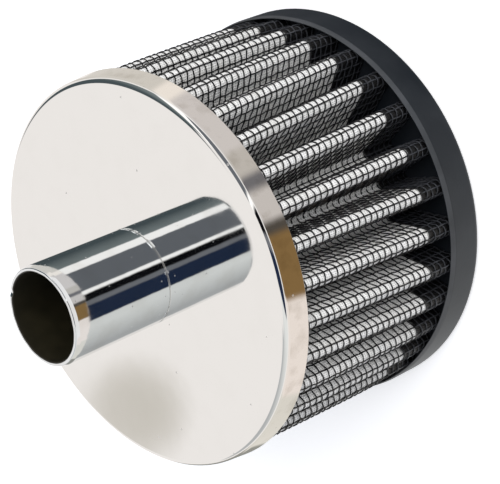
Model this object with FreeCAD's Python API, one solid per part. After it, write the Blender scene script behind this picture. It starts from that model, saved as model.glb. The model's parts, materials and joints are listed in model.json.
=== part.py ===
"""Crankcase breather filter: a pleated wire and cotton pack between a chromed base and a rubber end cap.

It stands on its end cap, with the base's inlet tube up along +Z and the origin under the middle of the cap.
"""

import FreeCAD, Part
import math
import os

from FreeCAD import Vector

# Driving dimensions, in millimetres

# Inlet tube
TUBE_OD = 19.05
TUBE_WALL = 1.05
TUBE_LENGTH = 22.2          # from the base's face to the mouth
MOUTH_LEAD = 2.4            # length of the eased end at the mouth
MOUTH_EASE = 0.3            # how far the eased end draws in
HOLE_MARGIN = 0.25          # how far the base's hole stands back from the bore

# Base cup, one drawn sheet
BASE_OD = 76.2
BASE_SHEET = 0.6
BASE_CORNER = 1.2           # outside corner radius
BASE_DEPTH = 5.3            # from the face to the skirt's edge
SKIRT_FLARE = 0.65          # how far the skirt opens by its edge

# Whole filter
FILTER_HEIGHT = 53.0        # from the cap's back to the base's face

# End cap, one moulding
CAP_HEIGHT = 8.7
CAP_LIP_WALL = 0.4
CAP_RECESS = 3.0            # depth of the recess that takes the pleats
CAP_BACK_ROUND = 1.5
CAP_DRAFT = 0.2             # how far the side leans in towards the lip

# Pleated pack
PLEATS = 33
FIRST_PLEAT_DEG = 6.0       # direction of the first tip from +X
PLEAT_DEPTH = 10.0          # from tip to valley, on the outside
TIP_RADIUS = 1.85           # outside radius of the folds at the tips
VALLEY_RADIUS = 0.6         # outside radius of the folds in the valleys
MESH_THICKNESS = 0.55       # woven wire sheet, over the crossing wires
GAUZE_THICKNESS = 0.5
PACK_FLARE = 2.04           # how far the tips spread from the potting to the cap
TIP_CLEARANCE = 0.05        # round the tips, in the base and in the cap

# Gaps in the outer wire mesh, in a row along the crest of each pleat
GAPS_PER_PLEAT = 2
GAP_WIDTH = 0.8
GAP_BRIDGE = 2.5            # mesh left between two gaps, and at the base and the cap

# Potting in the base
POTTING_DEPTH = 2.0
POTTING_MARGIN = 1.2        # how far the potting reaches inside the pack

# Facets of the folds, on the four faces of the three sheets from the outside in
TIP_FACETS = (5, 3, 1, 1)
VALLEY_FACETS = (1, 1, 1, 1)

# Facets of the turned roundings
CORNER_FACETS = 2
CAP_BACK_FACETS = 2
PLAIN_CORNER = 2            # count of numbers in a corner that has no rounding

# Heights
BASE_FACE_Z = FILTER_HEIGHT
SKIRT_EDGE_Z = BASE_FACE_Z - BASE_DEPTH
BASE_INSIDE_Z = BASE_FACE_Z - BASE_SHEET
POTTING_LOW_Z = BASE_INSIDE_Z - POTTING_DEPTH
PACK_HIGH_Z = POTTING_LOW_Z
PACK_LOW_Z = CAP_HEIGHT - CAP_RECESS

# Radii of the tube and the base
TUBE_R = TUBE_OD / 2
BORE_R = TUBE_R - TUBE_WALL
BASE_R = BASE_OD / 2
SKIRT_EDGE_R = BASE_R + SKIRT_FLARE

# Radii of the base's inside
INSIDE_CORNER_R = BASE_R - BASE_SHEET
INSIDE_SLOPE = SKIRT_FLARE / (BASE_INSIDE_Z - SKIRT_EDGE_Z)
POTTING_LOW_R = INSIDE_CORNER_R + INSIDE_SLOPE * POTTING_DEPTH

# Radii of the pack where it meets the potting and the cap
HIGH_TIP_R = POTTING_LOW_R - TIP_CLEARANCE
LOW_TIP_R = HIGH_TIP_R + PACK_FLARE
TIP_CENTRE_R = HIGH_TIP_R - TIP_RADIUS
VALLEY_CENTRE_R = HIGH_TIP_R - PLEAT_DEPTH + VALLEY_RADIUS
HALF_PITCH = math.pi / PLEATS
FIRST_PLEAT = math.radians(FIRST_PLEAT_DEG)
PACK_THICKNESS = 2 * MESH_THICKNESS + GAUZE_THICKNESS
PACK_INSIDE_R = HIGH_TIP_R - PLEAT_DEPTH - PACK_THICKNESS

# Radii of the cap
CAP_RECESS_R = LOW_TIP_R + TIP_CLEARANCE
CAP_LIP_R = CAP_RECESS_R + CAP_LIP_WALL
CAP_R = CAP_LIP_R + CAP_DRAFT

# Depths of the four sheet faces under the outside of the pack
SHEET_FACE_DEPTHS = (
    0,
    MESH_THICKNESS,
    MESH_THICKNESS + GAUZE_THICKNESS,
    PACK_THICKNESS,
)


def rounded_outline(corners):
    """Closed wire through (radius, height) corners, some with a rounding and its count of tangent facets."""
    points = [Vector(radius, 0, height) for radius, height, *_ in corners]
    outline = []
    for i, here in enumerate(points):
        if len(corners[i]) == PLAIN_CORNER:
            outline.append(here)
            continue
        _, _, rounding, facets = corners[i]
        to_before = (points[i - 1] - here).normalize()
        to_after = (points[(i + 1) % len(points)] - here).normalize()
        half_angle = to_before.getAngle(to_after) / 2
        inward = (to_before + to_after).normalize()
        centre = here + inward * (rounding / math.sin(half_angle))
        turn = math.pi / 2 - half_angle
        step = 2 * turn / (facets + 1)
        spoke = inward * (-rounding / math.cos(step / 2))
        swing = to_before.cross(to_after)
        for k in range(facets + 1):
            angle = (k + 0.5) * step - turn
            outline.append(centre + FreeCAD.Rotation(swing * -1, math.degrees(angle)).multVec(spoke))
    return Part.makePolygon(outline + outline[:1])


def turned(corners):
    """Solid of revolution about Z from a rounded outline."""
    return Part.Face(rounded_outline(corners)).revolve(Vector(0, 0, 0), Vector(0, 0, 1), 360)


def polar(radius, angle):
    """Point in the XY plane."""
    return Vector(radius * math.cos(angle), radius * math.sin(angle), 0)


def tip_angle(pleat):
    """Direction of a pleat's tip from +X."""
    return FIRST_PLEAT + 2 * HALF_PITCH * pleat


def flank_normal():
    """Angle from a pleat's middle line to the normal of its flank, a tangent of the tip and valley folds."""
    across = polar(VALLEY_CENTRE_R, HALF_PITCH) - polar(TIP_CENTRE_R, 0)
    return math.atan2(across.y, across.x) - math.acos((TIP_RADIUS + VALLEY_RADIUS) / across.Length)


def fold(centre, radius, middle, turn, facets):
    """Corners of a fold of facets tangent to a circle, with normals from middle - turn to middle + turn."""
    step = 2 * turn / (facets + 1)
    reach = radius / math.cos(step / 2)
    return [centre + polar(reach, middle - turn + (i + 0.5) * step) for i in range(facets + 1)]


def pleated_outline(face):
    """Corners, once round the axis at the top of the pack, of one of the four sheet faces."""
    depth = SHEET_FACE_DEPTHS[face]
    normal = flank_normal()
    corners = []
    for pleat in range(PLEATS):
        tip = tip_angle(pleat)
        valley = tip + HALF_PITCH
        corners += fold(polar(TIP_CENTRE_R, tip), TIP_RADIUS - depth, tip, normal, TIP_FACETS[face])
        corners += fold(
            polar(VALLEY_CENTRE_R, valley),
            -(VALLEY_RADIUS + depth),
            valley,
            HALF_PITCH - normal,
            VALLEY_FACETS[face],
        )
    return corners


def closed_face(corners):
    """Flat face over a polygon."""
    return Part.Face(Part.makePolygon(corners + corners[:1]))


def pleated_column(face):
    """Solid column of flat facets inside one of the sheet faces, which widens evenly towards the cap."""
    corners = pleated_outline(face)
    growth = LOW_TIP_R / HIGH_TIP_R
    high = [Vector(p.x, p.y, PACK_HIGH_Z) for p in corners]
    low = [Vector(p.x * growth, p.y * growth, PACK_LOW_Z) for p in corners]
    facets = [closed_face(low), closed_face(high)]
    for i in range(len(corners)):
        facets.append(closed_face([low[i - 1], low[i], high[i], high[i - 1]]))
    return Part.makeSolid(Part.Shell(facets))


def pleated_sheet(outer_face):
    """One sheet of the pack, between a sheet face and the next one in."""
    return pleated_column(outer_face).cut(pleated_column(outer_face + 1))


def crest_gaps():
    """Blocks that cut the row of gaps through the outer wire mesh, along the crests of all pleats."""
    run = SKIRT_EDGE_Z - CAP_HEIGHT
    length = (run - (GAPS_PER_PLEAT + 1) * GAP_BRIDGE) / GAPS_PER_PLEAT
    inside_r = HIGH_TIP_R - TIP_RADIUS
    blocks = []
    for pleat in range(PLEATS):
        for gap in range(GAPS_PER_PLEAT):
            low_z = CAP_HEIGHT + GAP_BRIDGE + gap * (length + GAP_BRIDGE)
            block = Part.makeBox(CAP_R - inside_r, GAP_WIDTH, length, Vector(inside_r, -GAP_WIDTH / 2, low_z))
            block.rotate(Vector(0, 0, 0), Vector(0, 0, 1), math.degrees(tip_angle(pleat)))
            blocks.append(block)
    return Part.makeCompound(blocks)


def inlet_tube():
    """Tube with an eased mouth, which stands on the base's face, round its hole."""
    mouth_z = BASE_FACE_Z + TUBE_LENGTH
    return turned([
        (BORE_R, BASE_FACE_Z),
        (TUBE_R, BASE_FACE_Z),
        (TUBE_R, mouth_z - MOUTH_LEAD),
        (TUBE_R - MOUTH_EASE, mouth_z),
        (BORE_R, mouth_z),
    ])


def base_cup():
    """Drawn cup: flat face, rounded corner and a short skirt that opens a little towards its edge."""
    hole_r = BORE_R + HOLE_MARGIN
    return turned([
        (hole_r, BASE_INSIDE_Z),
        (INSIDE_CORNER_R, BASE_INSIDE_Z),
        (SKIRT_EDGE_R - BASE_SHEET, SKIRT_EDGE_Z),
        (SKIRT_EDGE_R, SKIRT_EDGE_Z),
        (BASE_R, BASE_FACE_Z, BASE_CORNER, CORNER_FACETS),
        (hole_r, BASE_FACE_Z),
    ])


def base_potting():
    """Ring of potting against the base's inside, from the skirt to just inside the pack."""
    inner_r = PACK_INSIDE_R - POTTING_MARGIN
    return turned([
        (inner_r, POTTING_LOW_Z),
        (POTTING_LOW_R, POTTING_LOW_Z),
        (INSIDE_CORNER_R, BASE_INSIDE_Z),
        (inner_r, BASE_INSIDE_Z),
    ])


def end_cap():
    """Closed moulded cap, with a flat back, a rounded back edge and a thin lip round the ends of the pleats."""
    return turned([
        (0, 0),
        (CAP_R, 0, CAP_BACK_ROUND, CAP_BACK_FACETS),
        (CAP_LIP_R, CAP_HEIGHT),
        (CAP_RECESS_R, CAP_HEIGHT),
        (CAP_RECESS_R, PACK_LOW_Z),
        (0, PACK_LOW_Z),
    ])


pieces = {
    "base_cup": base_cup(),
    "inlet_tube": inlet_tube(),
    "outer_wire_mesh": pleated_sheet(0).cut(crest_gaps()),
    "cotton_gauze": pleated_sheet(1),
    "inner_wire_mesh": pleated_sheet(2),
    "base_potting": base_potting(),
    "end_cap": end_cap(),
}

os.makedirs("parts", exist_ok=True)
for name, shape in pieces.items():
    shape.exportStep(f"parts/{name}.step")
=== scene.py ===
"""Looks of a crankcase breather filter: chromed base and tube, pleated wire and cotton pack, rubber cap."""

from __future__ import annotations

import json
import logging
import math
from dataclasses import dataclass, field, replace
from enum import Enum
from typing import Callable

import bpy
import numpy as np
from mathutils import Matrix, Vector

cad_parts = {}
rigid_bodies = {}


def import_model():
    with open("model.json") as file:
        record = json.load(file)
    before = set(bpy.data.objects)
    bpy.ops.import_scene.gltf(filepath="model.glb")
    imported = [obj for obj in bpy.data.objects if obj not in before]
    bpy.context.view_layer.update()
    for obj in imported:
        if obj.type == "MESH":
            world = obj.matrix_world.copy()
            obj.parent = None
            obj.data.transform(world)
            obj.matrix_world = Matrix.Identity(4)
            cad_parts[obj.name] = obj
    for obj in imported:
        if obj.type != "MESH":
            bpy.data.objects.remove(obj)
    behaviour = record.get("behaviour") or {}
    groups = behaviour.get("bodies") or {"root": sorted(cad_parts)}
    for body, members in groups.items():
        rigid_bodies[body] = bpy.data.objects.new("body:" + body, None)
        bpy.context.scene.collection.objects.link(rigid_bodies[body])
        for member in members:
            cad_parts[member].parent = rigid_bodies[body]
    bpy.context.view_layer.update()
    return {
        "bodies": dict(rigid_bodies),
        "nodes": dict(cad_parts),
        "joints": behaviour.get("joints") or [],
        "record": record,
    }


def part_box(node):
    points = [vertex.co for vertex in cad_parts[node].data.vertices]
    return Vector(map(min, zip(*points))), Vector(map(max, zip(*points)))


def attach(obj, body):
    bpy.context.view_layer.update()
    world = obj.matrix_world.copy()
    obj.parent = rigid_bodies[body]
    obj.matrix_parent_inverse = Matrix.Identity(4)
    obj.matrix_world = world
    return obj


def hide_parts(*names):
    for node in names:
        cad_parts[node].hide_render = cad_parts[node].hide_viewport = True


LOG = logging.getLogger("breather_filter")
MM = 0.001
BODY = "root"
ROUND_STEPS = 192           # steps of a turned piece round the axis
CORNER_STEPS = 8            # steps of a rounding
FLAT_HOLD = 0.03            # flat strip in mm beside a rounding, which keeps the flats' shading flat
WAVE_PHASE = 20.0           # radians of phase that a wave texture has in one unit at a scale of 1


class Screen(Enum):
    """The two wire screens of the pack, by the frame's nodes that they stand for."""

    OUTER = "outer_wire_mesh"
    INNER = "inner_wire_mesh"


class Weave(Enum):
    """The two sets of wires in a screen."""

    HOOP = "hoop_wires"
    AXIAL = "axial_wires"


def linear(colour: str) -> tuple[float, float, float, float]:
    """Linear colour of an sRGB hex value, by the standard curve.

    Args:
        colour: six hex digits.

    Returns:
        Red, green, blue and alpha, with alpha 1.
    """
    channels = [int(colour[i:i + 2], 16) / 255 for i in (0, 2, 4)]
    return (*(c / 12.92 if c <= 0.04045 else ((c + 0.055) / 1.055) ** 2.4 for c in channels), 1.0)


def add(
    tree: bpy.types.NodeTree, kind: str, inputs: dict | None = None, **settings: object
) -> bpy.types.Node:
    """Adds a node with its settings and links.

    Args:
        tree: node tree that gets the node.
        kind: Blender's name for the node.
        inputs: socket name or number, to a value or to the output socket that feeds it.
        settings: the node's own properties.

    Returns:
        The new node.
    """
    node = tree.nodes.new(kind)
    for name, value in settings.items():
        setattr(node, name, value)
    for key, value in (inputs or {}).items():
        if isinstance(value, bpy.types.NodeSocket):
            tree.links.new(value, node.inputs[key])
        else:
            node.inputs[key].default_value = value
    return node


def per_metre(size_mm: float) -> float:
    """Texture scale whose features are about size_mm apart in object coordinates."""
    return 1 / (size_mm * MM)


@dataclass(frozen=True)
class Mottle:
    """An irregular pattern of patches, grain or waves.

    Args:
        size_mm: typical distance between its patches.
        detail: how many times finer patches lie over the larger ones.
        start: noise value where a patch starts.
        full: noise value from which it is full.
        share: how much a full patch covers.
    """

    size_mm: float
    detail: float
    start: float = 0.0
    full: float = 1.0
    share: float = 1.0

    def over(self, tree: bpy.types.NodeTree, place: bpy.types.NodeSocket) -> bpy.types.NodeSocket:
        """Lays the pattern over a surface.

        Args:
            tree: node tree that gets the nodes.
            place: the surface's coordinates, in metres.

        Returns:
            The socket of the share that is covered at each place.
        """
        noise = add(tree, "ShaderNodeTexNoise", {
            "Vector": place, "Scale": per_metre(self.size_mm), "Detail": self.detail,
        })
        patches = add(tree, "ShaderNodeMapRange", {
            "Value": noise.outputs["Fac"], "From Min": self.start, "From Max": self.full,
            "To Max": self.share,
        })
        return patches.outputs["Result"]


@dataclass(frozen=True)
class Finish:
    """A surface finish, which builds one node material.

    Args:
        name: plain name of the material.
        colour: sRGB hex of its main colour.
        roughness: typical roughness.
    """

    name: str
    colour: str
    roughness: float

    def material(self) -> bpy.types.Material:
        """Makes the material.

        Returns:
            A node material with its shader dressed by shade().
        """
        material = bpy.data.materials.new(self.name)
        material.use_nodes = True
        tree = material.node_tree
        shader = tree.nodes["Principled BSDF"]
        shader.inputs["Base Color"].default_value = linear(self.colour)
        shader.inputs["Roughness"].default_value = self.roughness
        material.diffuse_color = linear(self.colour)
        self.shade(tree, shader)
        return material

    def shade(self, tree: bpy.types.NodeTree, shader: bpy.types.Node) -> None:
        """Adds what the finish has beyond one colour and roughness.

        Args:
            tree: the material's node tree.
            shader: its principled shader.
        """


@dataclass(frozen=True)
class ChromePlate(Finish):
    """Bright chrome plate on drawn steel: a wavy mirror with wiping haze, pits and a film of grime.

    The pits and the haze are drawn coarser than the real ones, which are too fine to show.
    """

    haze: Mottle = Mottle(size_mm=14.0, detail=5.0, start=0.45, full=0.8)
    haze_roughness: float = 0.09
    pit_mm: float = 5.0
    pit_reach: float = 0.045
    pit_roughness: float = 0.6
    grime: Mottle = Mottle(size_mm=6.0, detail=7.0, start=0.5, full=0.8, share=0.25)
    grime_colour: str = "b5aea2"
    waves: Mottle = Mottle(size_mm=9.0, detail=2.0)
    wave_height_mm: float = 1.0
    wave_strength: float = 0.02

    def shade(self, tree: bpy.types.NodeTree, shader: bpy.types.Node) -> None:
        """Adds haze and pits to the roughness, grime to the colour and waves to the surface.

        Args:
            tree: the material's node tree.
            shader: its principled shader.
        """
        shader.inputs["Metallic"].default_value = 1.0
        place = add(tree, "ShaderNodeTexCoord").outputs["Object"]
        hazy = add(tree, "ShaderNodeMix", {
            "Factor": self.haze.over(tree, place), "A": self.roughness, "B": self.haze_roughness,
        })
        cells = add(tree, "ShaderNodeTexVoronoi", {"Vector": place, "Scale": per_metre(self.pit_mm)})
        pit = add(tree, "ShaderNodeMath", {
            0: cells.outputs["Distance"], 1: self.pit_reach,
        }, operation="LESS_THAN")
        rough = add(tree, "ShaderNodeMix", {
            "Factor": pit.outputs[0], "A": hazy.outputs["Result"], "B": self.pit_roughness,
        })
        tree.links.new(rough.outputs["Result"], shader.inputs["Roughness"])
        colour = add(tree, "ShaderNodeMix", {
            "Factor": self.grime.over(tree, place), "A": linear(self.colour), "B": linear(self.grime_colour),
        }, data_type="RGBA")
        tree.links.new(colour.outputs["Result"], shader.inputs["Base Color"])
        bump = add(tree, "ShaderNodeBump", {
            "Height": self.waves.over(tree, place), "Strength": self.wave_strength,
            "Distance": self.wave_height_mm * MM,
        })
        tree.links.new(bump.outputs["Normal"], shader.inputs["Normal"])


@dataclass(frozen=True)
class BrazedChrome(ChromePlate):
    """Chrome plate on brazed steel tube: the same mirror, with white polish dried in patches at its foot."""

    foot_mm: float = 0.0
    polish_mm: float = 0.5
    polish: Mottle = Mottle(size_mm=3.0, detail=4.0, start=0.5, full=0.58)
    polish_colour: str = "eef0ef"
    polish_roughness: float = 0.7

    def shade(self, tree: bpy.types.NodeTree, shader: bpy.types.Node) -> None:
        """Adds the dried polish to the plate.

        Args:
            tree: the material's node tree.
            shader: its principled shader.
        """
        super().shade(tree, shader)
        plate_colour = shader.inputs["Base Color"].links[0].from_socket
        plate_roughness = shader.inputs["Roughness"].links[0].from_socket
        place = add(tree, "ShaderNodeTexCoord").outputs["Object"]
        height = add(tree, "ShaderNodeSeparateXYZ", {0: place}).outputs["Z"]
        low = add(tree, "ShaderNodeMath", {
            0: height, 1: (self.foot_mm + self.polish_mm) * MM,
        }, operation="LESS_THAN")
        polish = add(tree, "ShaderNodeMath", {
            0: self.polish.over(tree, place), 1: low.outputs[0],
        }, operation="MULTIPLY").outputs[0]
        colour = add(tree, "ShaderNodeMix", {
            "Factor": polish, "A": plate_colour, "B": linear(self.polish_colour),
        }, data_type="RGBA")
        rough = add(tree, "ShaderNodeMix", {
            "Factor": polish, "A": plate_roughness, "B": self.polish_roughness,
        })
        bare = add(tree, "ShaderNodeMath", {0: 1.0, 1: polish}, operation="SUBTRACT")
        tree.links.new(colour.outputs["Result"], shader.inputs["Base Color"])
        tree.links.new(rough.outputs["Result"], shader.inputs["Roughness"])
        tree.links.new(bare.outputs[0], shader.inputs["Metallic"])


@dataclass(frozen=True)
class PaintedShadeSteel(Finish):
    """Inside of the tube: steel painted near-black as painted shade in the bore, lighter in random patches,
    half dull.
    """

    painted_light: Mottle = Mottle(size_mm=3.0, detail=4.0)
    painted_light_colour: str = "2c281b"

    def shade(self, tree: bpy.types.NodeTree, shader: bpy.types.Node) -> None:
        """Adds lighter random patches to the painted shade.

        Args:
            tree: the material's node tree.
            shader: its principled shader.
        """
        place = add(tree, "ShaderNodeTexCoord").outputs["Object"]
        # Painted shade: near-black steel, lightened in random patches
        colour = add(tree, "ShaderNodeMix", {
            "Factor": self.painted_light.over(tree, place), "A": linear(self.colour), "B": linear(self.painted_light_colour),
        }, data_type="RGBA")
        tree.links.new(colour.outputs["Result"], shader.inputs["Base Color"])


@dataclass(frozen=True)
class CoatedWire(Finish):
    """Black epoxy coat on drawn wire: glossy enough to glint on the bends, grey in patches where it has
    rubbed thin and as painted glint, and painted grey sheen near the cap.
    """

    wear_and_glint: Mottle = Mottle(size_mm=2.5, detail=2.0, start=0.6, full=0.75, share=0.7)
    wear_and_glint_colour: str = "47484a"
    painted_light_colour: str = "505257"
    sheen_to_mm: float = 14.4
    sheen_edge_mm: float = 1.2
    sheen_share: float = 0.5

    def shade(self, tree: bpy.types.NodeTree, shader: bpy.types.Node) -> None:
        """Adds grey patches, partly rubbed coat and partly painted glint, and painted grey sheen on the
        wires near the cap.

        Args:
            tree: the material's node tree.
            shader: its principled shader.
        """
        place = add(tree, "ShaderNodeTexCoord").outputs["Object"]
        # Grey patches at random: partly rubbed coat, partly painted glint
        coat = add(tree, "ShaderNodeMix", {
            "Factor": self.wear_and_glint.over(tree, place), "A": linear(self.colour), "B": linear(self.wear_and_glint_colour),
        }, data_type="RGBA")
        height = add(tree, "ShaderNodeSeparateXYZ", {0: place}).outputs["Z"]
        # Painted sheen: the wires are painted grey towards the cap, below a given height
        painted_light = add(tree, "ShaderNodeMapRange", {
            "Value": height, "From Min": (self.sheen_to_mm - self.sheen_edge_mm) * MM,
            "From Max": self.sheen_to_mm * MM, "To Min": self.sheen_share, "To Max": 0.0,
        })
        colour = add(tree, "ShaderNodeMix", {
            "Factor": painted_light.outputs["Result"], "A": coat.outputs["Result"], "B": linear(self.painted_light_colour),
        }, data_type="RGBA")
        tree.links.new(colour.outputs["Result"], shader.inputs["Base Color"])


@dataclass(frozen=True)
class CottonGauze(Finish):
    """Layered white cotton gauze: soft threads round open squares, soaked black at the cap by its compound.

    The threads are drawn coarser than the real ones, which are too fine to show.
    """

    thread_mm: float = 0.55
    thread_shadow: str = "b9b7b2"
    thread_wander: float = 1.4
    thread_detail: float = 2.0
    thread_detail_scale: float = 0.6
    lint: Mottle = Mottle(size_mm=2.2, detail=6.0, start=0.4, full=0.75, share=0.7)
    lint_colour: str = "d5d3cd"
    soaked_colour: str = "0a0a0b"
    soaked_roughness: float = 0.42
    soaked_to_mm: float = 14.6
    soaked_edge_mm: float = 0.9
    ragged: Mottle = Mottle(size_mm=2.2, detail=6.0)
    ragged_mm: float = 1.6
    bump_mm: float = 0.18
    bump_strength: float = 0.6

    def shade(self, tree: bpy.types.NodeTree, shader: bpy.types.Node) -> None:
        """Adds threads, lint and the soaked end.

        Args:
            tree: the material's node tree.
            shader: its principled shader.
        """
        cloth = add(tree, "ShaderNodeUVMap", uv_map=PleatedPack.CLOTH_MAP).outputs["UV"]
        threads = []
        for direction in ("X", "Y"):
            threads.append(add(tree, "ShaderNodeTexWave", {
                "Vector": cloth, "Scale": 2 * math.pi / WAVE_PHASE * per_metre(self.thread_mm),
                "Distortion": self.thread_wander, "Detail": self.thread_detail,
                "Detail Scale": self.thread_detail_scale,
            }, bands_direction=direction, wave_profile="SIN").outputs["Fac"])
        weave = add(tree, "ShaderNodeMath", {0: threads[0], 1: threads[1]}, operation="MAXIMUM").outputs[0]
        place = add(tree, "ShaderNodeTexCoord").outputs["Object"]
        woven = add(tree, "ShaderNodeMix", {
            "Factor": weave, "A": linear(self.thread_shadow), "B": linear(self.colour),
        }, data_type="RGBA")
        dry = add(tree, "ShaderNodeMix", {
            "Factor": self.lint.over(tree, place), "A": woven.outputs["Result"],
            "B": linear(self.lint_colour),
        }, data_type="RGBA").outputs["Result"]
        height = add(tree, "ShaderNodeSeparateXYZ", {0: place}).outputs["Z"]
        uneven = add(tree, "ShaderNodeMath", {
            0: self.ragged.over(tree, place), 1: -self.ragged_mm * MM, 2: height,
        }, operation="MULTIPLY_ADD").outputs[0]
        soaked_top = (self.soaked_to_mm - self.ragged_mm / 2) * MM
        soaked = add(tree, "ShaderNodeMapRange", {
            "Value": uneven, "From Min": soaked_top - self.soaked_edge_mm * MM, "From Max": soaked_top,
            "To Min": 1.0, "To Max": 0.0,
        }).outputs["Result"]
        colour = add(tree, "ShaderNodeMix", {
            "Factor": soaked, "A": dry, "B": linear(self.soaked_colour),
        }, data_type="RGBA")
        tree.links.new(colour.outputs["Result"], shader.inputs["Base Color"])
        rough = add(tree, "ShaderNodeMapRange", {
            "Value": soaked, "To Min": self.roughness, "To Max": self.soaked_roughness,
        })
        tree.links.new(rough.outputs["Result"], shader.inputs["Roughness"])
        bump = add(tree, "ShaderNodeBump", {
            "Height": weave, "Strength": self.bump_strength, "Distance": self.bump_mm * MM,
        })
        tree.links.new(bump.outputs["Normal"], shader.inputs["Normal"])


@dataclass(frozen=True)
class MouldedRubber(Finish):
    """Cast or moulded black rubber: satin, with a fine skin grain and clouds of pale bloom.

    The grain is drawn coarser than the real one, which is too fine to show.
    """

    grain: Mottle = Mottle(size_mm=0.5, detail=3.0)
    grain_height_mm: float = 0.03
    grain_strength: float = 0.35
    bloom: Mottle = Mottle(size_mm=9.0, detail=6.0, start=0.4, full=0.75, share=0.8)
    bloom_colour: str = "3b3c3e"

    def shade(self, tree: bpy.types.NodeTree, shader: bpy.types.Node) -> None:
        """Adds grain and bloom.

        Args:
            tree: the material's node tree.
            shader: its principled shader.
        """
        place = add(tree, "ShaderNodeTexCoord").outputs["Object"]
        colour = add(tree, "ShaderNodeMix", {
            "Factor": self.bloom.over(tree, place), "A": linear(self.colour), "B": linear(self.bloom_colour),
        }, data_type="RGBA")
        tree.links.new(colour.outputs["Result"], shader.inputs["Base Color"])
        bump = add(tree, "ShaderNodeBump", {
            "Height": self.grain.over(tree, place), "Strength": self.grain_strength,
            "Distance": self.grain_height_mm * MM,
        })
        tree.links.new(bump.outputs["Normal"], shader.inputs["Normal"])


# Base's face: polished before it was plated, so it mirrors almost cleanly
FACE_CHROME = ChromePlate(
    "chrome_plate_on_drawn_steel", "eae8e5", 0.03,
    grime=replace(ChromePlate.grime, share=0.05), grime_colour="c4c0b8", wave_strength=0.008,
)
# Base's skirt: the same plate, dulled and browned where hands hold it
SKIRT_CHROME = ChromePlate(
    "handled_chrome_plate", "e9e6e2", 0.05,
    haze_roughness=0.14, grime=replace(ChromePlate.grime, size_mm=3.5, share=0.4), grime_colour="978e7e",
)
# Tube: plate over drawn tube, with more pits and with short waves that bend its streaks
TUBE_CHROME = BrazedChrome(
    "chrome_plate_on_steel_tube", "e4e6e7", 0.05,
    pit_mm=2.4, pit_reach=0.07, waves=replace(ChromePlate.waves, size_mm=4.0),
)
# Bore: steel painted near-black, a painted shade for the dark inside of the tube
BORE_PAINTED_SHADE = PaintedShadeSteel("bore_steel_painted_shade", "100f09", 0.5)
WIRE = CoatedWire("black_epoxy_coated_wire", "131315", 0.36)
COTTON = CottonGauze("white_cotton_gauze", "f6f5f2", 0.95)
# Cap: moulded satin rubber, and its lip's bevel, painted lighter grey as a highlight
RUBBER = MouldedRubber("moulded_black_rubber", "1b1f24", 0.42, bloom_colour="2a2d31")
LIP_HIGHLIGHT_RUBBER = MouldedRubber("black_rubber_painted_lip_highlight", "34373a", 0.5, bloom_colour="4a4c50")
# Potting: compound poured into the base, black and satin
POTTING = MouldedRubber("cast_black_potting", "121212", 0.42)


def mesh_object(
    name: str, points: np.ndarray, faces: np.ndarray, smooth_deg: float = 180.0
) -> bpy.types.Object:
    """Object from points in millimetres and faces of three or four corners.

    Args:
        name: the object's name.
        points: an array of places, one row each.
        faces: an array of corner numbers, one row each.
        smooth_deg: edges that turn more than this stay sharp.

    Returns:
        The new object, linked to the scene.
    """
    mesh = bpy.data.meshes.new(name)
    mesh.from_pydata((points * MM).tolist(), [], faces.tolist())
    mesh.polygons.foreach_set("use_smooth", [True] * len(mesh.polygons))
    mesh.set_sharp_from_angle(angle=math.radians(smooth_deg))
    item = bpy.data.objects.new(name, mesh)
    bpy.context.scene.collection.objects.link(item)
    return item


def dress(item: bpy.types.Object, finish: Finish, slot: str, *replaced: str) -> bpy.types.Object:
    """Gives a piece its finish and body, and lets it stand for solids of the frame.

    Args:
        item: the piece.
        finish: its finish.
        slot: the record's material slot; not used.
        replaced: names of the nodes that it stands for.

    Returns:
        The piece.
    """
    item.data.materials.append(finish.material())
    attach(item, BODY)
    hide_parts(*replaced)
    LOG.info("%s: %d faces, %s", item.name, len(item.data.polygons), finish.name)
    return item


def dress_faces(item: bpy.types.Object, finish: Finish, chosen: Callable[[float, float], bool]) -> None:
    """Gives a second finish to some faces of a turned piece.

    Args:
        item: the piece.
        finish: the second finish.
        chosen: whether a face at a radius and a height, in millimetres, gets it.
    """
    item.data.materials.append(finish.material())
    for face in item.data.polygons:
        radius = math.hypot(face.center.x, face.center.y) / MM
        face.material_index = int(chosen(radius, face.center.z / MM))


def rounded_section(corners: list[tuple[float, float, float]]) -> np.ndarray:
    """Closed section through (radius, height, rounding) corners, with an arc at each rounding.

    Args:
        corners: the section's corners, in millimetres.

    Returns:
        Points along the section, one row each.
    """
    points = [np.array(corner[:2]) for corner in corners]
    section = []
    for i, here in enumerate(points):
        rounding = corners[i][2]
        if rounding == 0:
            section.append(here)
            continue
        before = points[i - 1] - here
        after = points[(i + 1) % len(points)] - here
        before /= np.linalg.norm(before)
        after /= np.linalg.norm(after)
        half_angle = math.acos(np.clip(before @ after, -1, 1)) / 2
        inward = (before + after) / np.linalg.norm(before + after)
        centre = here + inward * rounding / math.sin(half_angle)
        run = rounding / math.tan(half_angle)
        start = here + before * run - centre
        end = here + after * run - centre
        sweep = math.pi - 2 * half_angle
        section.append(here + before * (run + FLAT_HOLD))
        for step in range(CORNER_STEPS + 1):
            share = step / CORNER_STEPS
            spoke = start * math.sin((1 - share) * sweep) + end * math.sin(share * sweep)
            section.append(centre + spoke / math.sin(sweep))
        section.append(here + after * (run + FLAT_HOLD))
    return np.array(section)


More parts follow.
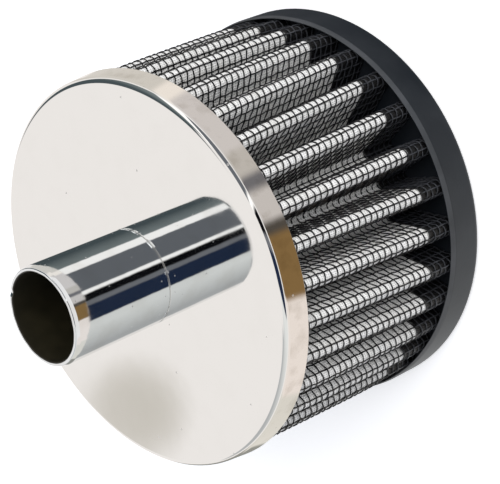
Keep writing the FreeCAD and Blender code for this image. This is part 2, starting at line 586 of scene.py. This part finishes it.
def turned(name: str, section: np.ndarray, smooth_deg: float = 35.0) -> bpy.types.Object:
    """Solid of revolution about the filter's axis.

    Args:
        name: the object's name.
        section: closed section of (radius, height) rows, in millimetres.
        smooth_deg: edges that turn more than this stay sharp.

    Returns:
        The new object.
    """
    angles = np.arange(ROUND_STEPS) * 2 * math.pi / ROUND_STEPS
    count = len(section)
    radius, height = section[:, 0], section[:, 1]
    points = np.stack([
        np.outer(np.cos(angles), radius),
        np.outer(np.sin(angles), radius),
        np.tile(height, (ROUND_STEPS, 1)),
    ], axis=-1).reshape(-1, 3)
    around = np.arange(ROUND_STEPS)[:, None] * count
    following = (np.arange(ROUND_STEPS)[:, None] + 1) % ROUND_STEPS * count
    here = np.arange(count)
    after = (here + 1) % count
    faces = np.stack([
        around + here, following + here, following + after, around + after,
    ], axis=-1).reshape(-1, 4)
    return mesh_object(name, points, faces, smooth_deg)


@dataclass
class BaseCup:
    """Chromed base, one drawn sheet: flat face, rounded corner and short skirt. Sizes in millimetres."""

    edge_radius: float
    edge_height: float
    face_height: float
    hole_radius: float
    sheet: float = 0.6
    flare: float = 0.65
    corner: float = 1.2
    edge_round: float = 0.2

    def build(self) -> bpy.types.Object:
        """Turns the cup, with a skirt that shows handling.

        Returns:
            The cup, dressed in chrome.
        """
        face_radius = self.edge_radius - self.flare
        inside = self.face_height - self.sheet
        section = rounded_section([
            (self.hole_radius, inside, 0),
            (face_radius - self.sheet, inside, self.corner - self.sheet),
            (self.edge_radius - self.sheet, self.edge_height, 0),
            (self.edge_radius, self.edge_height, self.edge_round),
            (face_radius, self.face_height, self.corner),
            (self.hole_radius, self.face_height, 0),
        ])
        cup = dress(turned("chromed_base", section), FACE_CHROME, "base_chrome", "base_cup")
        dress_faces(cup, SKIRT_CHROME, lambda radius, height: height < self.face_height - self.corner)
        return cup


@dataclass
class InletTube:
    """Chromed tube with a sawn and rounded mouth, on a fine brazed seam. Sizes in millimetres."""

    radius: float
    low: float
    high: float
    wall: float = 1.05
    lead: float = 0.9
    lead_round: float = 0.45
    ease: float = 0.3
    lip: float = 0.25
    seam: float = 0.22
    saw_depth: float = 0.05
    saw_waves: tuple[int, ...] = (5, 9, 14, 23)
    saw_zone: float = 0.5
    nick_deg: float = 150.0
    nick_width: float = 0.7
    nick_depth: float = 0.35
    seed: int = 7

    @property
    def bore(self) -> float:
        """Radius of the bore."""
        return self.radius - self.wall

    def build(self) -> bpy.types.Object:
        """Turns the tube, with its bore painted near-black as shade.

        Returns:
            The tube, dressed in chrome outside and in steel painted near-black as shade inside.
        """
        section = rounded_section([
            (self.bore, self.low, 0),
            (self.radius, self.low, self.seam),
            (self.radius, self.high - self.lead, self.lead_round),
            (self.radius - self.ease, self.high, self.lip),
            (self.bore, self.high, self.lip),
        ])
        chrome = replace(TUBE_CHROME, foot_mm=self.low)
        tube = dress(turned("chromed_tube", section), chrome, "tube_chrome", "inlet_tube")
        # The bore's faces are painted near-black: painted shade inside the tube
        dress_faces(tube, BORE_PAINTED_SHADE, lambda radius, height: radius < self.bore + self.lip)
        self.roughen_mouth(tube)
        return tube

    def roughen_mouth(self, tube: bpy.types.Object) -> None:
        """Lowers the mouth's edge unevenly, as a sawn end has it, with one deeper nick.

        Args:
            tube: the tube.
        """
        phases = np.random.default_rng(self.seed).uniform(0, 2 * math.pi, len(self.saw_waves))
        for vertex in tube.data.vertices:
            reach = (vertex.co.z / MM - self.high) / self.saw_zone + 1
            if reach <= 0:
                continue
            angle = math.atan2(vertex.co.y, vertex.co.x)
            waves = np.sin(np.array(self.saw_waves) * angle + phases).mean()
            from_nick = math.remainder(angle - math.radians(self.nick_deg), 2 * math.pi) * self.radius
            nick = self.nick_depth * math.exp(-(from_nick / self.nick_width) ** 2)
            drop = self.saw_depth * (1 + waves) + nick
            vertex.co.z -= reach * drop * MM


@dataclass
class EndCap:
    """Moulded rubber cap, with a thin lip round the pleats, eased outside. Sizes in millimetres."""

    radius: float
    height: float
    recess: float = 3.0
    lip_wall: float = 0.4
    draft: float = 0.2
    back_round: float = 1.5
    lip_bevel: float = 1.1
    lip_bevel_round: float = 3.0
    lip_edge: float = 0.12
    lip_round: float = 0.06
    hub: float = 0.01           # radius of the pin hole that keeps the middle's faces four-cornered

    @property
    def recess_radius(self) -> float:
        """Radius of the recess that takes the pleats."""
        return self.radius - self.draft - self.lip_wall

    def build(self) -> bpy.types.Object:
        """Turns the cap.

        Returns:
            The cap, dressed in rubber.
        """
        section = rounded_section([
            (self.hub, 0, 0),
            (self.radius, 0, self.back_round),
            (self.radius - self.draft, self.height - self.lip_bevel, self.lip_bevel_round),
            (self.recess_radius + self.lip_edge, self.height, self.lip_round),
            (self.recess_radius, self.height, 0),
            (self.recess_radius, self.height - self.recess, 0),
            (self.hub, self.height - self.recess, 0),
        ])
        cap = dress(turned("rubber_cap", section), RUBBER, "cap_rubber", "end_cap")
        # The lip's bevel is painted lighter grey: a painted highlight along the lip
        dress_faces(cap, LIP_HIGHLIGHT_RUBBER, lambda radius, height: height > self.height - self.lip_bevel)
        return cap


@dataclass
class PleatedPack:
    """Pleated screens and gauze, whose tips spread from the potting to the cap. Sizes in millimetres."""

    CLOTH_MAP = "cloth"

    low: float
    high: float
    lip_height: float
    edge_height: float
    high_tip: float
    low_tip: float
    pleats: int = 33
    depth: float = 10.0
    tip_fold: float = 1.85
    valley_fold: float = 0.6
    screen: float = 0.55
    gauze: float = 0.5
    bulge: float = 0.4
    bulge_power: int = 5
    first_deg: float = 6.0
    cap_wander_deg: float = 2.4
    cap_wander_from_deg: float = 14.0
    cap_wander_waves: int = 3
    base_wander_deg: float = 0.6
    base_wander_from_deg: float = -25.0
    base_wander_waves: int = 4
    gauze_columns: int = 28     # points of the gauze along one pleat
    gauze_rows: int = 40        # points of the gauze along the axis
    wire: float = 0.32
    crimp: float = 0.13
    hoop_pitch: float = 1.54
    axial_pitch: float = 2.02
    hoop_steps: int = 3         # steps of a hoop wire from one crossing to the next
    axial_steps: int = 2        # steps of an axial wire from one crossing to the next
    wire_sides: int = 3         # enough for wires as thin as these are in the picture
    breaks: np.ndarray = field(init=False)
    length: float = field(init=False)

    def __post_init__(self) -> None:
        """Works out the share of a pleat's length that each of its stretches has."""
        tip = self.high_tip - self.tip_fold
        valley = self.high_tip - self.depth + self.valley_fold
        across = valley * np.exp(1j * math.pi / self.pleats) - tip
        flank = math.sqrt(abs(across) ** 2 - (self.tip_fold + self.valley_fold) ** 2)
        half_valley = self.valley_fold * math.pi / 2
        runs = np.array([half_valley, flank, self.tip_fold * math.pi, flank, half_valley])
        self.length = float(runs.sum())
        self.breaks = np.concatenate([[0], np.cumsum(runs) / self.length])

    def tip_angle(self, pleat: np.ndarray, height: np.ndarray) -> np.ndarray:
        """Angle of pleats' tips, which wander a little more at the cap than at the base.

        Args:
            pleat: numbers of the pleats.
            height: heights, in millimetres.

        Returns:
            Angles, in radians.
        """
        even = np.radians(self.first_deg) + pleat * 2 * math.pi / self.pleats
        down = (self.high - height) / (self.high - self.low)
        cap_phase = self.cap_wander_waves * (even - math.radians(self.cap_wander_from_deg))
        base_phase = self.base_wander_waves * (even - math.radians(self.base_wander_from_deg))
        cap = self.cap_wander_deg * np.sin(cap_phase)
        base = self.base_wander_deg * np.sin(base_phase)
        return even + np.radians(base * (1 - down) + cap * down)

    def tip_radius(self, height: np.ndarray) -> np.ndarray:
        """Radius of the tips, which swell a little between the base's edge and the cap's lip.

        Args:
            height: heights, in millimetres.

        Returns:
            Radii, in millimetres.
        """
        down = (self.high - height) / (self.high - self.low)
        open_run = (self.edge_height - height) / (self.edge_height - self.lip_height)
        swell = np.clip(1 - np.abs(2 * open_run - 1) ** self.bulge_power, 0, None)
        return self.high_tip + (self.low_tip - self.high_tip) * down + self.bulge * swell

    def surface(
        self, turn: np.ndarray, height: np.ndarray, under: np.ndarray
    ) -> tuple[np.ndarray, np.ndarray]:
        """Places on a pleated face.

        Args:
            turn: places along the pleats, where each whole number is a pleat that starts in its valley.
            height: heights, in millimetres, which broadcast against turn.
            under: depth of the face under the pack's outside, which broadcasts against both.

        Returns:
            Complex places in the plane across the axis, and complex unit normals there.
        """
        turn, height, under = np.broadcast_arrays(turn, height, under)
        pleat = np.floor(turn)
        share = turn - pleat
        middle = self.tip_angle(pleat, height)
        reach = self.tip_radius(height)
        tip = reach - self.tip_fold
        side = np.where(share < 0.5, -1.0, 1.0)
        along = np.abs(share - 0.5) * 2
        half_gap = np.abs(self.tip_angle(pleat + side, height) - middle) / 2
        valley = (reach - self.depth + self.valley_fold) * np.exp(1j * half_gap)
        across = valley - tip
        normal = np.angle(across) - np.arccos((self.tip_fold + self.valley_fold) / np.abs(across))
        tip_end, flank_end = 1 - 2 * self.breaks[2], 1 - 2 * self.breaks[1]
        on_tip = along < tip_end
        on_valley = along > flank_end
        tip_turn = normal * np.clip(along / tip_end, 0, 1)
        valley_turn = normal + (half_gap - normal) * np.clip((along - flank_end) / (1 - flank_end), 0, 1)
        tip_place = tip + (self.tip_fold - under) * np.exp(1j * tip_turn)
        valley_place = valley - (self.valley_fold + under) * np.exp(1j * valley_turn)
        mix = np.clip((along - tip_end) / (flank_end - tip_end), 0, 1)
        flank_start = tip + (self.tip_fold - under) * np.exp(1j * normal)
        flank_stop = valley - (self.valley_fold + under) * np.exp(1j * normal)
        flank_place = flank_start + (flank_stop - flank_start) * mix
        place = np.select([on_tip, on_valley], [tip_place, valley_place], flank_place)
        facing = np.exp(1j * np.select([on_tip, on_valley], [tip_turn, valley_turn], normal))
        place = np.where(side < 0, np.conj(place), place)
        facing = np.where(side < 0, np.conj(facing), facing)
        spin = np.exp(1j * middle)
        return place * spin, facing * spin

    def build(self) -> None:
        """Makes the gauze and the wires of both screens."""
        self.build_gauze()
        for screen in Screen:
            for weave in Weave:
                self.build_wires(screen, weave)

    def build_gauze(self) -> bpy.types.Object:
        """Makes the gauze as one closed pleated sheet, pressed a little into the outer screen.

        Returns:
            The gauze, dressed in cotton.
        """
        columns = self.pleats * self.gauze_columns
        rows = self.gauze_rows
        turn = np.arange(columns)[None, :] / self.gauze_columns
        height = np.linspace(self.low, self.high, rows)[:, None]
        bed = self.screen - self.wire / 2
        grids = []
        for under in (bed, self.screen + self.gauze):
            place, _ = self.surface(turn, height, np.array([[under]]))
            grids.append(np.stack([place.real, place.imag, np.broadcast_to(height, place.shape)], axis=-1))
        points = np.concatenate([grid.reshape(-1, 3) for grid in grids])
        here = np.arange(columns)
        after = (here + 1) % columns
        row = np.arange(rows - 1)[:, None] * columns
        next_row = row + columns
        outer = np.stack([
            row + here, row + after, next_row + after, next_row + here,
        ], axis=-1).reshape(-1, 4)
        inner = outer[:, ::-1] + rows * columns
        top = (rows - 1) * columns
        other = rows * columns
        low_end = np.stack([here + other, after + other, after, here], axis=-1)
        high_end = np.stack([top + here, top + after, top + after + other, top + here + other], axis=-1)
        gauze = mesh_object("cotton_gauze_sheet", points, np.concatenate([outer, inner, low_end, high_end]))
        self.map_cloth(gauze, columns)
        return dress(gauze, COTTON, "cotton", "cotton_gauze")

    def map_cloth(self, gauze: bpy.types.Object, columns: int) -> None:
        """Lays a map in metres of cloth over the gauze, along the pleats and along the axis.

        Args:
            gauze: the gauze.
            columns: its points round the axis.
        """
        rows = self.gauze_rows
        corners = np.empty(len(gauze.data.loops), dtype=np.int32)
        gauze.data.loops.foreach_get("vertex_index", corners)
        across = corners % columns * (self.length * self.pleats / columns) * MM
        along = corners // columns % rows * ((self.high - self.low) / (rows - 1)) * MM
        cloth = gauze.data.uv_layers.new(name=self.CLOTH_MAP)
        cloth.data.foreach_set("uv", np.stack([across, along], axis=-1).ravel().astype(np.float32))

    def build_wires(self, screen: Screen, weave: Weave) -> bpy.types.Object:
        """Makes one set of a screen's crimped wires, which pass over and under the other set in turn.

        Args:
            screen: which screen.
            weave: which set.

        Returns:
            The wires, dressed in black coat.
        """
        # An even count of axial wires lets the crimps of a hoop wire meet where it closes
        axial_count = 2 * round(self.length * self.pleats / self.axial_pitch / 2)
        hoop_count = round((self.high - self.low) / self.hoop_pitch)
        under = self.screen / 2
        if screen is Screen.INNER:
            under += self.screen + self.gauze
        # Each point's place, counted in hoop wires and in axial wires, with fractions between two wires
        if weave is Weave.HOOP:
            hoop = np.arange(hoop_count)[:, None]
            axial = np.arange(self.hoop_steps * axial_count)[None, :] / self.hoop_steps
            crimp = self.crimp
        else:
            hoop = (np.arange(self.axial_steps * hoop_count)[None, :] + 0.5) / self.axial_steps - 0.5
            axial = np.arange(axial_count)[:, None]
            crimp = -self.crimp
        turn, height = np.broadcast_arrays(
            axial * self.pleats / axial_count,
            self.low + (hoop + 0.5) * (self.high - self.low) / hoop_count,
        )
        place, facing = self.surface(turn, height, under - crimp * np.cos(math.pi * (hoop + axial)))
        centre = np.stack([place.real, place.imag, height], axis=-1)
        out = np.stack([facing.real, facing.imag, np.zeros_like(height)], axis=-1)
        if weave is Weave.HOOP:
            across = np.broadcast_to(np.array([0.0, 0.0, 1.0]), out.shape)
        else:
            across = np.stack([-facing.imag, facing.real, np.zeros_like(height)], axis=-1)
        name = f"{screen.name.lower()}_{weave.value}"
        wires = self.wire_tubes(name, centre, out, across, closed=weave is Weave.HOOP)
        return dress(wires, WIRE, "coated_wire", screen.value)

    def wire_tubes(
        self, name: str, centre: np.ndarray, out: np.ndarray, across: np.ndarray, closed: bool
    ) -> bpy.types.Object:
        """Tubes along many wires at once.

        Args:
            name: the object's name.
            centre: places along the wires, by wire and step.
            out: unit vectors out of the sheet there.
            across: unit vectors along the sheet, across the wire.
            closed: whether each wire ends where it starts.

        Returns:
            The new object.
        """
        wires, steps = centre.shape[:2]
        sides = self.wire_sides
        angles = (np.arange(sides) + 0.5) * 2 * math.pi / sides
        radius = self.wire / 2
        ring = centre[:, :, None, :] + radius * (
            np.cos(angles)[None, None, :, None] * out[:, :, None, :]
            + np.sin(angles)[None, None, :, None] * across[:, :, None, :]
        )
        index = np.arange(wires * steps * sides).reshape(wires, steps, sides)
        following = np.roll(index, -1, axis=1) if closed else index[:, 1:]
        here = index if closed else index[:, :-1]
        faces = np.stack([
            here, np.roll(here, -1, axis=2), np.roll(following, -1, axis=2), following,
        ], axis=-1).reshape(-1, 4)
        return mesh_object(name, ring.reshape(-1, 3), faces)


@dataclass(frozen=True)
class ReflectedBand:
    """A stretch of the studio's walls or table, as bright metal sees it.

    Args:
        start_deg: azimuth where it starts, counter-clockwise from +X.
        colour: its sRGB hex colour.
        blur_deg: width of the soft edge at its start.
    """

    start_deg: float
    colour: str
    blur_deg: float = 3.0


def around_axis(
    tree: bpy.types.NodeTree, place: bpy.types.NodeSocket, bands: tuple[ReflectedBand, ...]
) -> bpy.types.NodeSocket:
    """Colour by azimuth about the filter's axis.

    Args:
        tree: node tree that gets the nodes.
        place: the place or direction whose azimuth counts.
        bands: the bands, in order of azimuth from -180 degrees.

    Returns:
        The colour's socket.
    """
    parts = add(tree, "ShaderNodeSeparateXYZ", {0: place})
    azimuth = add(tree, "ShaderNodeMath", {
        0: parts.outputs["Y"], 1: parts.outputs["X"],
    }, operation="ARCTAN2")
    share = add(tree, "ShaderNodeMapRange", {
        "Value": azimuth.outputs[0], "From Min": -math.pi, "From Max": math.pi,
    })
    ramp = add(tree, "ShaderNodeValToRGB", {"Fac": share.outputs["Result"]})
    stops = ramp.color_ramp.elements
    stops.remove(stops[1])
    stops[0].position = 0.0
    stops[0].color = linear(bands[-1].colour)
    # The ramp runs from -180 to 180 degrees, and half of a band's soft edge lies before its start
    for before, band in zip((bands[-1], *bands), bands):
        for offset, colour in ((-0.5, before.colour), (0.5, band.colour)):
            stop = stops.new((band.start_deg + offset * band.blur_deg) / 360 + 0.5)
            stop.color = linear(colour)
    return ramp.outputs["Color"]


@dataclass(frozen=True)
class ReflectedPatch:
    """A soft round patch on the studio's walls, as bright metal sees it.

    Args:
        azimuth_deg: its azimuth, counter-clockwise from +X.
        elevation_deg: its elevation.
        core_deg: angle from its middle to where it starts to fade.
        half_width_deg: angle from its middle to where it has faded.
        colour: its sRGB hex colour.
    """

    azimuth_deg: float
    elevation_deg: float
    core_deg: float
    half_width_deg: float
    colour: str

    def direction(self) -> Vector:
        """Unit vector towards its middle."""
        level = math.cos(math.radians(self.elevation_deg))
        return Vector((
            level * math.cos(math.radians(self.azimuth_deg)),
            level * math.sin(math.radians(self.azimuth_deg)),
            math.sin(math.radians(self.elevation_deg)),
        ))


@dataclass
class Studio:
    """Floor, light, reflected walls and table, and camera."""

    floor_colour: str = "f6f6f6"
    floor_under_mm: float = 0.02    # keeps the floor clear of the cap's back
    floor_glow: float = 0.45
    light_colour: str = "f1f5ff"
    floor_half_m: float = 4.0
    room_strength: float = 0.55
    wall_strength: float = 1.3
    key_strength: float = 2.4
    key_from: tuple[float, float, float] = (0.6, 0.6, 0.6)
    key_angle_deg: float = 50.0
    camera_mm: tuple[float, float, float] = (210.67, 57.71, 212.70)
    camera_turns_deg: tuple[float, float, float] = (162.3758, -46.6129, 180.0)
    lens_mm: float = 103.95
    sensor_mm: float = 36.0
    clip_start_m: float = 0.01
    walls: tuple[ReflectedBand, ...] = (
        ReflectedBand(-128.0, "a9acae"),
        ReflectedBand(-80.0, "d8dbdb", 60.0),
        ReflectedBand(-34.0, "1f2a40"),
        ReflectedBand(-0.7, "6d7076"),
        ReflectedBand(9.5, "0c0d10"),
        ReflectedBand(24.5, "ffffff"),
        ReflectedBand(32.5, "62666c"),
        ReflectedBand(83.0, "ffffff"),
        ReflectedBand(103.0, "6f787a"),
        ReflectedBand(128.0, "434d51", 36.0),
        ReflectedBand(178.0, "e3e1e0"),
    )
    wall_low_deg: float = 12.0
    wall_high_deg: float = 62.0
    wall_edge_deg: float = 3.0
    ceiling_colour: str = "e3e1e0"
    dim_patch: ReflectedPatch = ReflectedPatch(
        azimuth_deg=-158.8, elevation_deg=33.9, core_deg=0.3, half_width_deg=2.6, colour="c1beb8",
    )
    near_mm: tuple[float, float] = (50.0, 56.0)
    near_table: tuple[ReflectedBand, ...] = (
        ReflectedBand(-150.0, "f4f5f5", 50.0),
        ReflectedBand(12.0, "5a5e63", 50.0),
    )
    table: tuple[ReflectedBand, ...] = (
        ReflectedBand(-135.0, "989892"),
        ReflectedBand(-109.0, "e9e6de"),
        ReflectedBand(-70.0, "fbf2ec"),
        ReflectedBand(-21.0, "8b6f47"),
        ReflectedBand(9.0, "55504a"),
        ReflectedBand(15.0, "d4cfcc"),
        ReflectedBand(30.0, "77767a"),
        ReflectedBand(37.0, "cbc6c0"),
        ReflectedBand(50.0, "dcd7d5"),
        ReflectedBand(88.0, "fff8f0"),
        ReflectedBand(99.0, "dedad3"),
        ReflectedBand(146.0, "fbf6f3"),
    )

    def build(self) -> None:
        """Makes the whole studio."""
        self.build_floor()
        self.build_walls()
        self.build_key()
        self.build_camera()

    def build_floor(self) -> None:
        """Lays the pale floor, which bright metal sees as a table with a few toned stretches."""
        half = self.floor_half_m / MM
        low = -self.floor_under_mm
        corners = np.array([(-half, -half, low), (half, -half, low), (half, half, low), (-half, half, low)])
        floor = mesh_object("floor", corners, np.array([(0, 1, 2, 3)]))
        material = Finish("matt_white_floor", self.floor_colour, 1.0).material()
        tree = material.node_tree
        shader = tree.nodes["Principled BSDF"]
        path = add(tree, "ShaderNodeLightPath")
        seen = add(tree, "ShaderNodeMath", {
            0: path.outputs["Is Camera Ray"], 1: path.outputs["Is Transmission Ray"],
        }, operation="MAXIMUM")
        glow = add(tree, "ShaderNodeMath", {0: seen.outputs[0], 1: self.floor_glow}, operation="MULTIPLY")
        tree.links.new(glow.outputs[0], shader.inputs["Emission Strength"])
        place = add(tree, "ShaderNodeTexCoord").outputs["Object"]
        away = add(tree, "ShaderNodeVectorMath", {0: place}, operation="LENGTH")
        beyond = add(tree, "ShaderNodeMapRange", {
            "Value": away.outputs["Value"], "From Min": self.near_mm[0] * MM,
            "From Max": self.near_mm[1] * MM,
        })
        tones = add(tree, "ShaderNodeMix", {
            "Factor": beyond.outputs["Result"], "A": around_axis(tree, place, self.near_table),
            "B": around_axis(tree, place, self.table),
        }, data_type="RGBA")
        table = add(tree, "ShaderNodeEmission", {"Color": tones.outputs["Result"]})
        look = add(tree, "ShaderNodeMixShader", {
            0: path.outputs["Is Glossy Ray"], 1: shader.outputs[0], 2: table.outputs[0],
        })
        tree.links.new(look.outputs[0], tree.nodes["Material Output"].inputs["Surface"])
        floor.data.materials.append(material)

    def build_walls(self) -> None:
        """Lights the room evenly, and shows plain dark and white walls to bright metal."""
        world = bpy.data.worlds.new("studio")
        world.use_nodes = True
        tree = world.node_tree
        background = tree.nodes["Background"]
        direction = add(tree, "ShaderNodeTexCoord").outputs["Generated"]
        towards = add(tree, "ShaderNodeVectorMath", {
            0: direction, 1: self.dim_patch.direction(),
        }, operation="DOT_PRODUCT")
        dimmed = add(tree, "ShaderNodeMapRange", {
            "Value": towards.outputs["Value"],
            "From Min": math.cos(math.radians(self.dim_patch.half_width_deg)),
            "From Max": math.cos(math.radians(self.dim_patch.core_deg)),
        }, interpolation_type="SMOOTHSTEP")
        rise = add(tree, "ShaderNodeSeparateXYZ", {0: direction}).outputs["Z"]
        above = add(tree, "ShaderNodeMapRange", {
            "Value": rise, "From Min": math.sin(math.radians(self.wall_low_deg)),
            "From Max": math.sin(math.radians(self.wall_low_deg + self.wall_edge_deg)),
        })
        below = add(tree, "ShaderNodeMapRange", {
            "Value": rise, "From Min": math.sin(math.radians(self.wall_high_deg)),
            "From Max": math.sin(math.radians(self.wall_high_deg + self.wall_edge_deg)),
            "To Min": 1.0, "To Max": 0.0,
        })
        level = add(tree, "ShaderNodeMath", {
            0: above.outputs["Result"], 1: below.outputs["Result"],
        }, operation="MULTIPLY")
        room = add(tree, "ShaderNodeMix", {
            "Factor": level.outputs[0], "A": linear(self.ceiling_colour),
            "B": around_axis(tree, direction, self.walls),
        }, data_type="RGBA")
        walls = add(tree, "ShaderNodeMix", {
            "Factor": dimmed.outputs["Result"], "A": room.outputs["Result"],
            "B": linear(self.dim_patch.colour),
        }, data_type="RGBA")
        path = add(tree, "ShaderNodeLightPath")
        colour = add(tree, "ShaderNodeMix", {
            "Factor": path.outputs["Is Glossy Ray"], "A": linear(self.light_colour),
            "B": walls.outputs["Result"],
        }, data_type="RGBA")
        seen = add(tree, "ShaderNodeMath", {
            0: path.outputs["Is Camera Ray"], 1: path.outputs["Is Glossy Ray"],
        }, operation="MAXIMUM")
        strength = add(tree, "ShaderNodeMapRange", {
            "Value": seen.outputs[0], "To Min": self.room_strength, "To Max": self.wall_strength,
        })
        tree.links.new(colour.outputs["Result"], background.inputs["Color"])
        tree.links.new(strength.outputs["Result"], background.inputs["Strength"])
        bpy.context.scene.world = world

    def build_key(self) -> None:
        """Hangs one large soft lamp high on the side that the photograph's light comes from."""
        lamp = bpy.data.lights.new("soft_key", "SUN")
        lamp.energy = self.key_strength
        lamp.angle = math.radians(self.key_angle_deg)
        key = bpy.data.objects.new("soft_key", lamp)
        key.rotation_euler = Vector(self.key_from).to_track_quat("Z", "Y").to_euler()
        key.visible_glossy = False
        bpy.context.scene.collection.objects.link(key)

    def build_camera(self) -> None:
        """Sets the camera at the photograph's viewing angle, rolled so that the filter lies on its side."""
        lens = bpy.data.cameras.new("camera")
        lens.lens = self.lens_mm
        lens.sensor_width = self.sensor_mm
        lens.sensor_fit = "HORIZONTAL"
        lens.clip_start = self.clip_start_m
        camera = bpy.data.objects.new("camera", lens)
        turns = Matrix.Identity(4)
        for degrees, axis in zip(self.camera_turns_deg, "XYX"):
            turns = turns @ Matrix.Rotation(math.radians(degrees), 4, axis)
        camera.matrix_world = Matrix.Translation(Vector(self.camera_mm) * MM) @ turns
        bpy.context.scene.collection.objects.link(camera)
        bpy.context.scene.camera = camera


@dataclass
class BreatherFilter:
    """The whole filter, fitted to the nodes of the loaded frame."""

    frame: dict
    hole_margin: float = 0.25
    tip_clearance: float = 0.05

    def extent(self, node: str) -> tuple[np.ndarray, np.ndarray]:
        """Lowest and highest corner of a node of the frame, in millimetres."""
        low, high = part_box(node)
        return np.array(low) / MM, np.array(high) / MM

    def build(self) -> None:
        """Builds and dresses the pieces in order."""
        cup_low, cup_high = self.extent("base_cup")
        tube_low, tube_high = self.extent("inlet_tube")
        _, cap_high = self.extent("end_cap")
        _, potting_high = self.extent("base_potting")
        pack_low, pack_high = self.extent("cotton_gauze")
        tube = InletTube(radius=tube_high[0], low=tube_low[2], high=tube_high[2])
        cap = EndCap(radius=cap_high[0], height=cap_high[2])
        BaseCup(
            edge_radius=cup_high[0],
            edge_height=cup_low[2],
            face_height=cup_high[2],
            hole_radius=tube.bore + self.hole_margin,
        ).build()
        tube.build()
        cap.build()
        PleatedPack(
            low=pack_low[2],
            high=pack_high[2],
            lip_height=cap_high[2],
            edge_height=cup_low[2],
            high_tip=potting_high[0] - self.tip_clearance,
            low_tip=cap.recess_radius - self.tip_clearance,
        ).build()
        self.dress_potting()

    def dress_potting(self) -> None:
        """Dresses the potting, whose solid has its real shape."""
        materials = self.frame["nodes"]["base_potting"].data.materials
        materials.clear()
        materials.append(POTTING.material())
        LOG.info("base_potting: kept solid, %s", POTTING.name)


def main() -> None:
    """Dresses the frame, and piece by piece."""
    logging.basicConfig(level=logging.INFO, format="%(name)s %(message)s")
    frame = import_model()
    bpy.context.scene.view_settings.view_transform = "Standard"
    BreatherFilter(frame).build()
    Studio().build()


if __name__ == "__main__":
    main()
